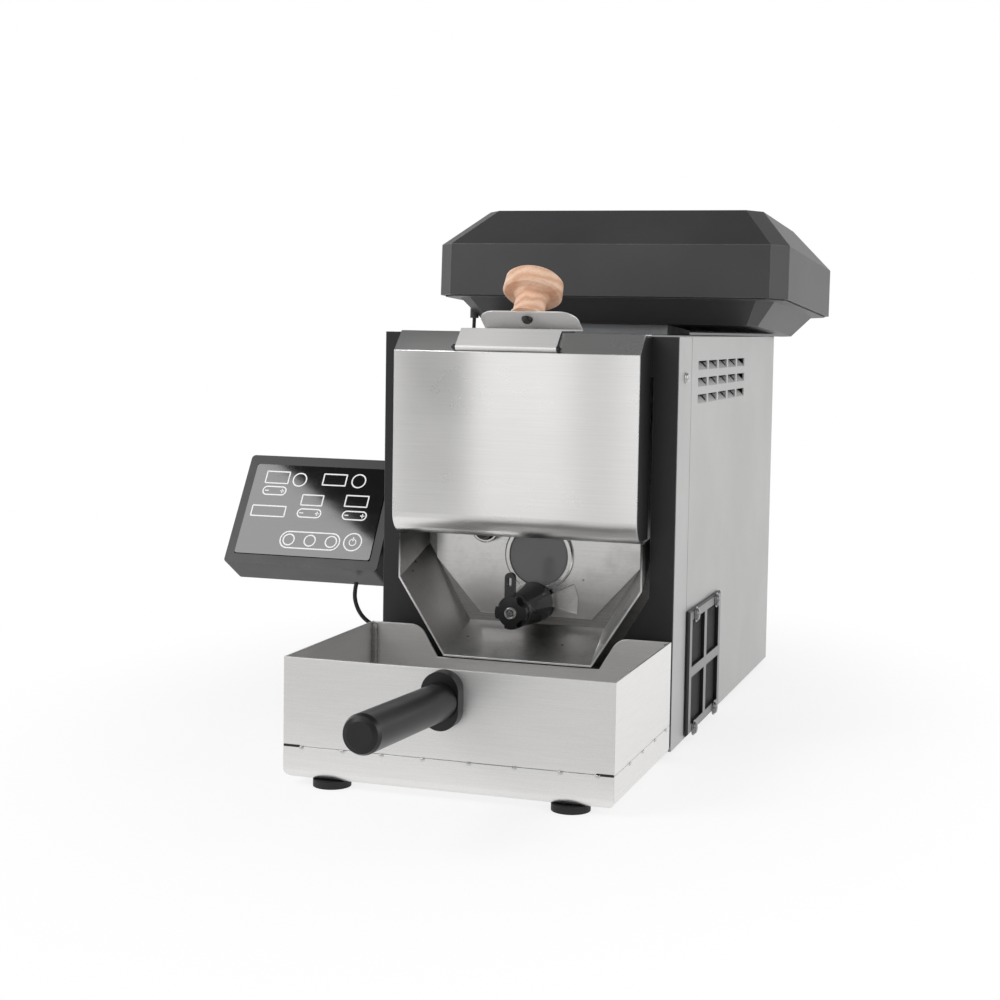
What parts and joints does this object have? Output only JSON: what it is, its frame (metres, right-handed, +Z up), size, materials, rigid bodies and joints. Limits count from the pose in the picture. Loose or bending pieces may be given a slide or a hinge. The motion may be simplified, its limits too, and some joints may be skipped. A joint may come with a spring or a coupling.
{
  "type": "home coffee bean roaster",
  "caption": "Countertop drum coffee roaster with a bean lid, discharge gate, chute, pull-out cooling tray, tilted exhaust hood and side control panel.",
  "frame": {"origin": "centre of the overall box, on the surface that the roaster stands on", "axes": "+X to the right, +Y to the back, +Z up; the tray and its handle point to -Y"},
  "size_m": [0.3784, 0.724, 0.3832],
  "materials": {
    "case_grey": "light grey powder coat, fine texture",
    "case_black": "black powder coat, fine texture",
    "stainless_brushed": "brushed stainless steel",
    "stainless_polished": "polished stainless steel",
    "stainless_plain": "mill-finish stainless sheet",
    "hood_grey": "matte charcoal coating",
    "rubber_black": "moulded rubber",
    "plastic_black": "moulded matte plastic",
    "print_white": "white screen print on glass",
    "plastic_gloss": "moulded gloss plastic",
    "screw_black": "black oxide steel screws",
    "beech": "oiled beech",
    "glass_clear": "clear heat-resistant glass",
    "glass_black": "black-backed cover glass",
    "quartz": "quartz tube",
    "galvanised": "galvanised steel",
    "ceramic": "ceramic and insulating board",
    "motor_steel": "zinc-plated steel",
    "board_green": "circuit board"
  },
  "bodies": {
    "roaster": {"body_wrap": "case_grey", "front_frame": "case_grey", "front_panel": "case_black", "rear_panel": "case_grey", "bottom_plate": "galvanised", "rubber_feet": "rubber_black", "front_cover": "stainless_brushed", "cover_side_left": "case_black", "cover_side_right": "case_black", "discharge_chute": "stainless_plain", "front_bulkhead": "galvanised", "drum_front_plate": "stainless_polished", "sight_glass_ring": "stainless_polished", "sight_glass": "glass_clear", "sampler_port": "stainless_polished", "outlet_sleeve": "case_black", "bean_hopper": "stainless_plain", "lid_hinge_pin": "stainless_polished", "drum_bearing": "motor_steel", "rear_bulkhead": "galvanised", "gearmotor": "motor_steel", "heater_rods": "quartz", "heater_clips": "ceramic", "heat_shield": "galvanised", "exhaust_duct": "galvanised", "cooling_fan_frame": "plastic_black", "fan_guard": "case_grey", "guard_mesh": "case_black", "case_screws": "screw_black", "base_pan": "stainless_plain", "hood_seat": "galvanised", "hood_lower_shell": "hood_grey", "chaff_screen": "stainless_plain", "exhaust_fan_frame": "plastic_black", "panel_case": "plastic_black", "panel_glass": "glass_black", "panel_bracket": "case_black", "main_board": "board_green", "mains_inlet": "plastic_gloss", "switch_bezel": "plastic_gloss", "cord_sockets": "plastic_black", "panel_cord": "rubber_black", "hood_cord": "rubber_black"},
    "cooling_tray": {"cooling_tray": "stainless_plain", "tray_screen": "stainless_plain", "tray_handle_base": "plastic_black", "tray_handle_grip": "plastic_black"},
    "bean_lid": {"bean_lid": "stainless_brushed", "wood_knob": "beech", "lid_screw": "screw_black"},
    "hood_lid": {"hood_upper_shell": "hood_grey"},
    "discharge_gate": {"discharge_spindle": "stainless_plain", "discharge_lever": "case_black", "lobed_knob": "plastic_black", "knob_screw": "stainless_polished"},
    "drum": {"drum": "stainless_plain", "drum_shaft": "motor_steel"},
    "cooling_rotor": {"cooling_fan_rotor": "plastic_black"},
    "exhaust_rotor": {"exhaust_fan_rotor": "plastic_black"},
    "rocker": {"power_rocker": "plastic_gloss"}
  },
  "joints": [
    {"name": "tray_slide", "type": "slide", "parent": "roaster", "child": "cooling_tray", "axis": [0, -1, 0], "range_m": [0, 0.14]},
    {"name": "bean_lid_hinge", "type": "hinge", "parent": "roaster", "child": "bean_lid", "pos_m": [0.04035, -0.10971, 0.2741], "axis": [1, 0, 0], "range_deg": [0, 95]},
    {"name": "hood_lid_hinge", "type": "hinge", "parent": "roaster", "child": "hood_lid", "pos_m": [0.04635, 0.35434, 0.29764], "axis": [-1, 0, 0], "range_deg": [0, 65]},
    {"name": "discharge_turn", "type": "hinge", "parent": "roaster", "child": "discharge_gate", "pos_m": [0.04535, -0.07876, 0.0955], "axis": [0, -1, 0], "range_deg": [0, 80]},
    {"name": "drum_spin", "type": "hinge", "parent": "roaster", "child": "drum", "pos_m": [0.04635, 0.05124, 0.1665], "axis": [0, 1, 0], "continuous": true},
    {"name": "cooling_fan_spin", "type": "hinge", "parent": "roaster", "child": "cooling_rotor", "pos_m": [0.13635, 0.01124, 0.049], "axis": [1, 0, 0], "continuous": true},
    {"name": "exhaust_fan_spin", "type": "hinge", "parent": "roaster", "child": "exhaust_rotor", "pos_m": [0.04635, 0.19734, 0.29167], "axis": [0, 0.0506, 0.9987], "continuous": true},
    {"name": "power_rocker_tilt", "type": "hinge", "parent": "roaster", "child": "rocker", "pos_m": [0.03635, 0.28124, 0.0345], "axis": [1, 0, 0], "range_deg": [-6, 6]}
  ]
}
